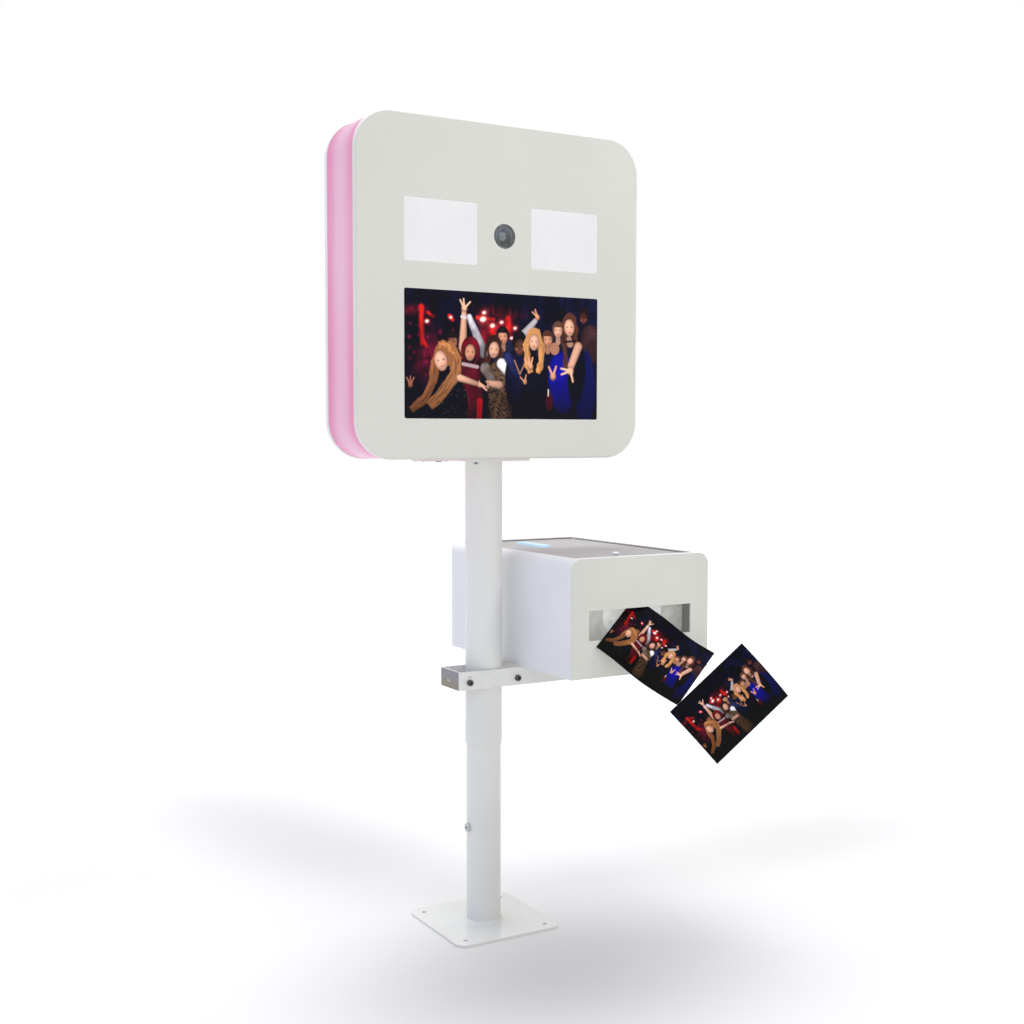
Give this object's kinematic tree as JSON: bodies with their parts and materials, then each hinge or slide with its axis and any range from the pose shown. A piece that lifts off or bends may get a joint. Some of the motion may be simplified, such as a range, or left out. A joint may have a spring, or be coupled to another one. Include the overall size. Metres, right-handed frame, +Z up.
{
  "type": "photo booth",
  "caption": "Photo booth on a telescopic mast: a rounded-square head with touch screen, light panels, camera window and glowing side band, and a clamped printer box with a print slot.",
  "frame": {"origin": "centre of the base plate's underside, on the floor below the mast's axis", "axes": "+Z up along the mast, the screen and the print slot face -Y, +X towards the printer box"},
  "size_m": [0.8007, 0.7466, 1.71],
  "materials": {
    "white_coat": "satin",
    "panel_white": "gloss",
    "rear_white": "satin",
    "pink_band": "gloss",
    "led_white": "matte",
    "zinc_steel": "satin",
    "equipment_alu": "satin",
    "dark_bolt": "satin",
    "display_black": "matte",
    "screen_glass": "gloss",
    "light_diffuser": "satin",
    "window_glass": "gloss",
    "camera_black": "matte",
    "inlet_black": "satin",
    "box_white": "gloss",
    "box_front_white": "gloss",
    "lid_grey": "gloss",
    "knob_white": "gloss",
    "window_blue": "gloss",
    "printer_grey": "matte",
    "cover_grey": "satin",
    "foot_rubber": "matte",
    "bush_grey": "matte",
    "photo_paper": "gloss"
  },
  "bodies": {
    "stand": {"base_plate": "white_coat", "lower_tube": "white_coat", "travel_stop_bolt": "dark_bolt"},
    "mast": {"upper_tube": "white_coat", "glide_bush": "bush_grey"},
    "head": {"head_flange": "white_coat", "head_spigot": "zinc_steel", "swivel_pin": "dark_bolt", "socket_block": "zinc_steel", "flange_bolts": "zinc_steel", "front_panel": "panel_white", "led_band": "pink_band", "led_strip": "led_white", "steel_ring": "zinc_steel", "rear_tray": "rear_white", "equipment_plate": "equipment_alu", "display_module": "display_black", "touch_glass": "screen_glass", "light_pane_left": "light_diffuser", "light_pane_right": "light_diffuser", "light_board_left": "led_white", "light_board_right": "led_white", "camera_window": "window_glass", "lens_barrel": "camera_black", "camera_body": "camera_black", "camera_plate": "equipment_alu", "computer": "equipment_alu", "power_supply": "equipment_alu", "inlet_plate": "rear_white", "power_inlet": "inlet_black", "switch_body": "inlet_black", "door_hinge_fixed": "zinc_steel", "door_hinge_pins": "zinc_steel"},
    "rocker": {"switch_rocker": "inlet_black"},
    "door": {"rear_door": "rear_white", "door_hinge_moving": "zinc_steel", "lock_body": "zinc_steel"},
    "cam": {"lock_cam": "zinc_steel"},
    "printer_mount": {"mount_channel": "white_coat", "clamp_bolts": "dark_bolt", "clamp_nuts": "zinc_steel", "shelf_plate": "white_coat", "box_bolts": "zinc_steel", "box_shell": "box_white", "box_front": "box_front_white", "box_front_screws": "zinc_steel", "printer_body": "printer_grey", "printer_feet": "foot_rubber", "printer_cover": "cover_grey", "lid_hinge_rod": "zinc_steel"},
    "lid": {"box_lid": "lid_grey", "lid_window": "window_blue", "lid_knob": "knob_white"},
    "prints": {"print_first": "photo_paper", "print_second": "photo_paper"}
  },
  "joints": [
    {"name": "mast_height", "type": "slide", "parent": "stand", "child": "mast", "axis": [0, 0, 1], "range_m": [-0.17, 0.15]},
    {"name": "head_swivel", "type": "hinge", "parent": "mast", "child": "head", "pos_m": [0, 0, 1], "axis": [0, 0, 1], "range_deg": [-6, 6]},
    {"name": "power_switch", "type": "hinge", "parent": "head", "child": "rocker", "pos_m": [-0.1185, -0.018, 1.019], "axis": [1, 0, 0], "range_deg": [0, 16]},
    {"name": "door_hinge", "type": "hinge", "parent": "head", "child": "door", "pos_m": [0.21281, 0.073, 1.364], "axis": [0, 0, -1], "range_deg": [0, 110]},
    {"name": "door_lock", "type": "hinge", "parent": "door", "child": "cam", "pos_m": [-0.19431, 0.063, 1.364], "axis": [0, 1, 0], "range_deg": [0, 90]},
    {"name": "printer_height", "type": "slide", "parent": "mast", "child": "printer_mount", "axis": [0, 0, 1], "range_m": [-0.12, 0.03]},
    {"name": "lid_hinge", "type": "hinge", "parent": "printer_mount", "child": "lid", "pos_m": [0.24, 0.2504, 0.802], "axis": [-1, 0, 0], "range_deg": [0, 20]},
    {"name": "print_feed", "type": "slide", "parent": "printer_mount", "child": "prints", "axis": [-0.1737, -0.5346, -0.8271], "range_m": [0, 0.02]}
  ]
}
